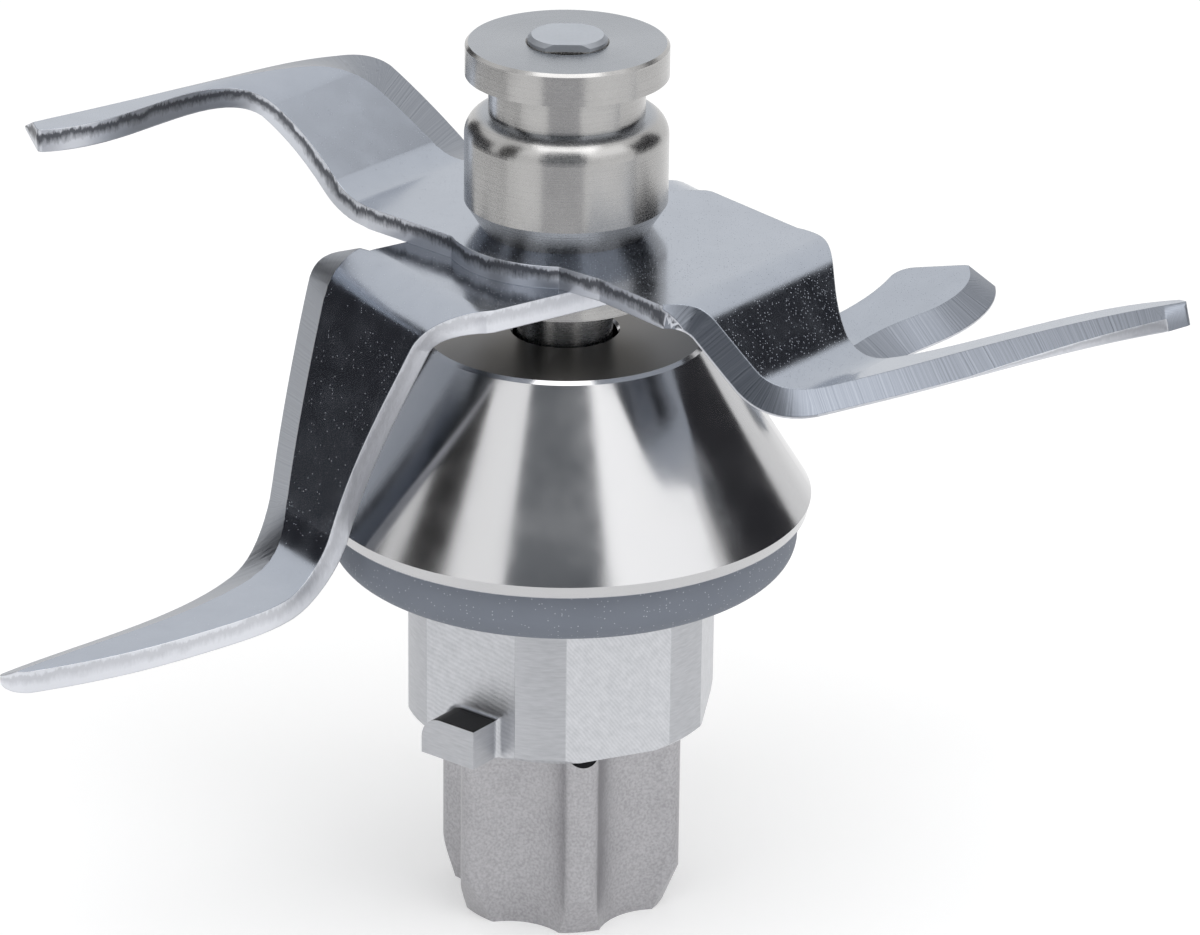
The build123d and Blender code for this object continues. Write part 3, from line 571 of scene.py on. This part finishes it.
# painted shade: the upper knife's rim takes the darker plain tone, the lower knife's the paler one
clean = add_node(
    tree, "Mix", {0: on_upper.outputs[0], 6: colour("d8dae0"), 7: colour("c8cbd2")}, data_type="RGBA"
)
tone = add_node(
    tree, "Mix", {0: shade.outputs[0], 6: clean.outputs[2], 7: colour("383a41")}, data_type="RGBA"
)
rounded = add_node(tree, "Bevel", {"Radius": soft_edge}, samples=4)
relief = add_node(
    tree,
    "Bump",
    {"Height": ticks.outputs["Fac"], "Strength": 0.45, "Distance": 0.05 * MM, "Normal": rounded.outputs[0]},
)
rough = add_node(tree, "MapRange", {"Value": shade.outputs[0], "To Min": 0.34, "To Max": 0.5})
tree.links.new(tone.outputs[2], shader.inputs["Base Color"])
tree.links.new(rough.outputs[0], shader.inputs["Roughness"])
tree.links.new(relief.outputs[0], shader.inputs["Normal"])
print("made", sheared_steel.name)

# %% [markdown]
# ## The knives
#
# Each knife is a copy of the CAD one, which already has the folds and the ground bevels. Its faces sort
# themselves into the three surfaces. Rolled faces never lean across their arm. The rest are told apart by
# the rolled face that they touch: a sheared wall stands square to it, and a ground bevel leans from it. A
# face in the middle of a bevel touches no rolled face, and is known by the ground faces beside it.

# %% Sort a knife's faces
ROLLED, GROUND, SHEARED = range(3)
knife_finishes = [rolled_steel, ground_steel, sheared_steel]
grid = 0.01 * MM
rolled_lean = 0.02
rolled_rise = 0.2
wall_lean = 0.4
bevel_match = 0.9
bevel_neighbours = 8


def whole_place(point):
    """A place as whole hundredths of a millimetre, the same for corners that coincide."""
    return tuple(round(c / grid) for c in point)


def sort_faces(mesh, across):
    """Number every face by its surface. Give the sheet's normal at the corners of the rolled faces."""
    corner_places = [whole_place(mesh.vertices[loop.vertex_index].co) for loop in mesh.loops]
    sheet = {}
    others = []
    for face in mesh.polygons:
        if abs(face.normal.dot(across)) < rolled_lean and abs(face.normal.z) > rolled_rise:
            face.material_index = ROLLED
            for corner in face.loop_indices:
                sheet[corner_places[corner]] = mesh.corner_normals[corner].vector.copy()
        else:
            others.append(face)
    for face in others:
        touched = [sheet[corner_places[c]] for c in face.loop_indices if corner_places[c] in sheet]
        upright = not touched or max(abs(face.normal.dot(normal)) for normal in touched) < wall_lean
        face.material_index = SHEARED if upright else GROUND
    ground = [face for face in others if face.material_index == GROUND]
    centres = KDTree(len(ground))
    for index, face in enumerate(ground):
        centres.insert(face.center, index)
    centres.balance()
    for face in others:
        beside = [ground[index].normal for _, index, _ in centres.find_n(face.center, bevel_neighbours)]
        if max(face.normal.dot(normal) for normal in beside) > bevel_match:
            face.material_index = GROUND
    return corner_places, sheet


# %% [markdown]
# The bevel comes as narrow flat strips, one behind the other along the edge. Each corner on it takes the
# mean normal of the strips that meet there, so that the bevel shades as one smooth surface, and the corners
# of all other faces keep their exact normals.


# %% Smooth the bevels
def smooth_bevels(mesh, corner_places):
    """Give the corners of ground faces the mean normal of the ground faces that meet there."""
    normals = [corner.vector.copy() for corner in mesh.corner_normals]
    ground = [face for face in mesh.polygons if face.material_index == GROUND]
    sums = {}
    for face in ground:
        for corner in face.loop_indices:
            place = corner_places[corner]
            sums[place] = sums.get(place, Vector((0, 0, 0))) + face.normal * face.area
    for face in ground:
        for corner in face.loop_indices:
            normals[corner] = sums[corner_places[corner]].normalized()
    mesh.normals_split_custom_set(normals)


# %% [markdown]
# The cutting edge is where ground faces meet sheared ones. Its points, in order of their distance from the
# spindle, make a line with a running length, and every point of a bevel takes the length at the nearest
# place on that line. A noise that is read along this length makes scratches straight across the bevel.


# %% Measure along a cutting edge
def running_lengths(points):
    """Points of a cutting edge from root to tip, each with its distance from the root."""
    line = []
    for point in sorted(points, key=lambda place: place.xy.length):
        length = line[-1][1] + (point - line[-1][0]).length if line else 0.0
        line.append((point, length))
    return line


def length_beside(point, line):
    """Running length at the place of a line that is nearest to a point."""
    nearest = []
    for (start, length), (end, _) in zip(line, line[1:]):
        share = min(max(intersect_point_line(point, start, end)[1], 0.0), 1.0)
        nearest.append(((start.lerp(end, share) - point).length, length + share * (end - start).length))
    return min(nearest)[1]


# %% [markdown]
# A sheared wall comes as a few long triangles, too few to carry a depth that grows from one face of the
# sheet to the other. Its long edges are divided, which leaves its shape as it is, and each point on it takes
# its depth from its distances to the two seams where the wall meets those faces. The CAD mesh is loose
# triangles, so the copy is merged first. A wall and its neighbours then divide at the same points, and the
# knife stays closed.

# %% Divide the sheared walls
weld_gap = 0.001 * MM
longest_side = 0.6 * MM
seam_step = 0.05 * MM


def find_seams(mesh, corner_places, sheet):
    """Lines where the walls meet the sheet's upper side and its lower side."""
    sides = [set(), set(), set()]
    for face in mesh.polygons:
        ring = [corner_places[corner] for corner in face.loop_indices]
        pairs = [frozenset(pair) for pair in zip(ring, ring[1:] + ring[:1])]
        sides[face.material_index].update(pair for pair in pairs if len(pair) == 2)
    upper, lower = [], []
    for pair in sorted(sides[SHEARED] & (sides[ROLLED] | sides[GROUND]), key=sorted):
        below = pair in sides[ROLLED] and all(sheet[place].z < 0 for place in pair)
        (lower if below else upper).append([Vector(place) * grid for place in pair])
    return upper, lower


def divide_walls(mesh):
    """Merge a knife's triangles, divide the long edges of its walls, and keep every corner's exact normal."""
    exact = mesh.attributes.new("exact_normal", "FLOAT_VECTOR", "CORNER")
    exact.data.foreach_set("vector", [c for corner in mesh.corner_normals for c in corner.vector])
    shape = bmesh.new()
    shape.from_mesh(mesh)
    bmesh.ops.remove_doubles(shape, verts=shape.verts, dist=weld_gap)
    walls = [edge for edge in shape.edges if any(f.material_index == SHEARED for f in edge.link_faces)]
    long_edges = [edge for edge in walls if edge.calc_length() > longest_side]
    bmesh.ops.subdivide_edges(shape, edges=long_edges, cuts=4)
    shape.to_mesh(mesh)
    shape.free()
    exact = mesh.attributes["exact_normal"]
    mesh.normals_split_custom_set([corner.vector.normalized() for corner in exact.data])
    mesh.attributes.remove(exact)


def lay_points(lines):
    """Close points along some lines, in a tree that finds the nearest one."""
    points = []
    for start, end in lines:
        steps = ceil((end - start).length / seam_step)
        points += [start.lerp(end, step / steps) for step in range(steps + 1)]
    tree = KDTree(len(points))
    for index, point in enumerate(points):
        tree.insert(point, index)
    tree.balance()
    return tree


# %% [markdown]
# One function does all of this for a knife. The direction of its arms tells it which way is across them, and
# which of the two cutting edges a point belongs to. The knife rides on the rotor in place of the CAD one.


# %% Make the knives
def make_knife(node, name, direction):
    """Copy a CAD knife, sort its faces, and measure it along its edges and below its upper face."""
    arm = Vector((cos(radians(direction)), sin(radians(direction)), 0))
    across = Vector((-arm.y, arm.x, 0))
    mesh = nodes[node].data.copy()
    mesh.name = name
    mesh.materials.clear()
    for material in knife_finishes:
        mesh.materials.append(material)
    corner_places, sheet = sort_faces(mesh, across)
    smooth_bevels(mesh, corner_places)
    places = [set(), set(), set()]
    for face in mesh.polygons:
        places[face.material_index].update(corner_places[corner] for corner in face.loop_indices)
    edge = [Vector(place) * grid for place in places[GROUND] & places[SHEARED]]
    lines = {side: running_lengths([p for p in edge if (p.dot(arm) > 0) == side]) for side in (True, False)}
    upper_seams, lower_seams = [lay_points(seams) for seams in find_seams(mesh, corner_places, sheet)]
    divide_walls(mesh)
    along = mesh.attributes.new("along_edge", "FLOAT", "POINT")
    below = mesh.attributes.new("below_face", "FLOAT", "POINT")
    for face in mesh.polygons:
        for index in face.vertices:
            point = mesh.vertices[index].co
            if face.material_index == GROUND:
                along.data[index].value = length_beside(point, lines[point.dot(arm) > 0])
            elif face.material_index == SHEARED:
                upper_gap = upper_seams.find(point)[2]
                below.data[index].value = upper_gap / (upper_gap + lower_seams.find(point)[2])
    piece = bpy.data.objects.new(name, mesh)
    bpy.context.scene.collection.objects.link(piece)
    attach(piece, "rotor")
    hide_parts(node)
    print(name, "has cutting edges of", [round(line[-1][1] / MM, 1) for line in lines.values()], "mm")


make_knife("upper_blade", "upper_knife", direction=141.0)
make_knife("lower_blade", "lower_knife", direction=214.0)

# %% [markdown]
# ## The studio
#
# Polished steel shows its surroundings more than itself. The part stands on a white table in a white tent.
# The tent is the world: plain white where the camera sees it straight, in a mirror or through glass, and a
# little dimmer as a source of light. The Light Path node tells these rays apart.


# %% World
def seen_rays(tree):
    """1 for rays that show a surface straight, in a mirror or through glass, and 0 for rays that light it."""
    rays = add_node(tree, "LightPath")
    looked_at = add_node(
        tree, "Math", {0: rays.outputs["Is Camera Ray"], 1: rays.outputs["Is Glossy Ray"]}, operation="ADD"
    )
    looked_through = add_node(
        tree,
        "Math",
        {0: looked_at.outputs[0], 1: rays.outputs["Is Transmission Ray"]},
        operation="ADD",
        use_clamp=True,
    )
    return looked_through.outputs[0]


tent_light = 0.75
world = bpy.data.worlds.new("white tent")
bpy.context.scene.world = world
world.use_nodes = True
sky = world.node_tree
tent_level = add_node(sky, "MapRange", {"Value": seen_rays(sky), "To Min": tent_light, "To Max": 1.0})
sky.links.new(tent_level.outputs[0], sky.nodes["Background"].inputs["Strength"])
sky.nodes["Background"].inputs["Color"].default_value = colour("ffffff")
bpy.context.scene.view_settings.view_transform = "Standard"
print("world is white to the camera and to reflections")

# %% [markdown]
# The table is a wide white disc. It glows a little to the same rays, so that it joins the tent without a
# line, and it keeps the part's shadow.

# %% Table
table_radius = 3.0
table_glow = 0.3
table_mesh = bpy.data.meshes.new("table")
table_top = bmesh.new()
bmesh.ops.create_circle(table_top, cap_ends=True, segments=96, radius=table_radius)
table_top.to_mesh(table_mesh)
table_top.free()
table = bpy.data.objects.new("table", table_mesh)
bpy.context.scene.collection.objects.link(table)
white_table, tree, shader = start_material("white laminate", roughness=0.9)
shader.inputs["Base Color"].default_value = colour("e6e6e6")
glow = add_node(tree, "MapRange", {"Value": seen_rays(tree), "To Min": 0.0, "To Max": table_glow})
tree.links.new(glow.outputs[0], shader.inputs["Emission Strength"])
shader.inputs["Emission Color"].default_value = colour("ffffff")
table_mesh.materials.append(white_table)
print("table laid")

# %% [markdown]
# Black flags at both sides put the dark streaks into the steel, a grey one stands behind the camera, and the
# gaps between them are where the softboxes shine in. A flag is one edge that is spun around the part. The
# flags are hidden from the camera and cast no shadow, so they act on reflections alone.


# %% Flags
def make_flag(name, start, end, shade, inner, outer):
    """A curved cloth between two bearings in degrees. Its edges are given as radius and height in metres."""
    turn = Matrix.Rotation(radians(start), 3, "Z")
    cloth = bmesh.new()
    corners = [cloth.verts.new(turn @ Vector((0, -radius, height))) for radius, height in (inner, outer)]
    side = cloth.edges.new(corners)
    bmesh.ops.spin(
        cloth, geom=[*corners, side], axis=(0, 0, 1), cent=(0, 0, 0), angle=radians(end - start), steps=24
    )
    mesh = bpy.data.meshes.new(name)
    cloth.to_mesh(mesh)
    cloth.free()
    flag = bpy.data.objects.new(name, mesh)
    bpy.context.scene.collection.objects.link(flag)
    material, _, shader = start_material(name + " cloth", roughness=1.0, specular_ior_level=0.0)
    shader.inputs["Base Color"].default_value = colour(shade)
    mesh.materials.append(material)
    flag.visible_camera = False
    flag.visible_diffuse = False
    flag.visible_shadow = False
    return flag


tent_radius = 0.9
lying = 0.001
foot = (tent_radius, 0.002)
hem = (tent_radius, lying)
flags = [
    make_flag("grey flag in front", -29, 22, "82868b", foot, (tent_radius, 1.4)),
    make_flag("black flag left", -81, -58, "393838", foot, (tent_radius, 1.05)),
    make_flag("black flag far left", -150, -92, "38383c", foot, (tent_radius, 0.5)),
    make_flag("black flag on the table", -126, -68, "38383c", (0.3, lying), hem),
    make_flag("grey flag on the table", -27, 19, "c4c4c8", (0.17, lying), hem),
    make_flag("black flag right", 82, 127, "38383c", foot, (tent_radius, 0.75)),
]
print("set up", len(flags), "flags")

# %% [markdown]
# Three soft lamps add to the tent. They are area lights, whose power is worked out from the brightness that
# a mirror would show, so a bigger lamp isn't a brighter one in the steel.


# %% Softboxes
def make_softbox(name, bearing, elevation, distance, width, length, radiance):
    """A rectangular lamp that faces the part. Radiance 1 shows as white in a mirror."""
    lamp = bpy.data.lights.new(name, "AREA")
    lamp.shape = "RECTANGLE"
    lamp.size = width
    lamp.size_y = length
    lamp.energy = radiance * pi * width * length
    softbox = bpy.data.objects.new(name, lamp)
    turn, lift = radians(bearing), radians(elevation)
    direction = Vector((sin(turn) * cos(lift), -cos(turn) * cos(lift), sin(lift)))
    softbox.location = direction * distance + Vector((0, 0, rim_top))
    softbox.rotation_euler = direction.to_track_quat("Z", "Y").to_euler()
    bpy.context.scene.collection.objects.link(softbox)
    return softbox


# bearing and elevation in degrees, distance, width and length in metres, radiance
softboxes = [
    make_softbox("softbox_right", 52, 42, 0.85, 0.7, 0.5, 0.6),
    make_softbox("softbox_left", -44, 42, 0.85, 0.4, 0.5, 0.3),
    make_softbox("softbox_top", 0, 70, 0.9, 0.8, 0.6, 1.5),
]
print("lit by", len(softboxes), "softboxes")

# %% [markdown]
# ## The camera
#
# A long lens looks down at the rim from the front. The small turns beside it put the rim where the
# photograph has it.

# %% Camera
camera_data = bpy.data.cameras.new("camera")
camera_data.sensor_width = 36.0
camera_data.lens = 170.48
camera_data.clip_start = 0.01
camera_distance = 573.23 * MM
camera_lift = radians(23.261)
small_turn = Matrix.Rotation(radians(-0.3671), 3, "Y")
small_tilt = Matrix.Rotation(radians(0.1905), 3, "X")
small_roll = Matrix.Rotation(radians(0.5325), 3, "Z")
facing = Euler((pi / 2 - camera_lift, 0, 0)).to_matrix() @ small_turn @ small_tilt @ small_roll
camera = bpy.data.objects.new("camera", camera_data)
stand = Vector((0, -camera_distance * cos(camera_lift), rim_top + camera_distance * sin(camera_lift)))
camera.matrix_world = Matrix.Translation(stand) @ facing.to_4x4()
bpy.context.scene.collection.objects.link(camera)
bpy.context.scene.camera = camera
print("camera at", [round(c / MM, 1) for c in stand], "mm")

# %% [markdown]
# ## Finish
#
# The last cell brings the scene up to date and hands it over.

# %% Finish
bpy.context.view_layer.update()
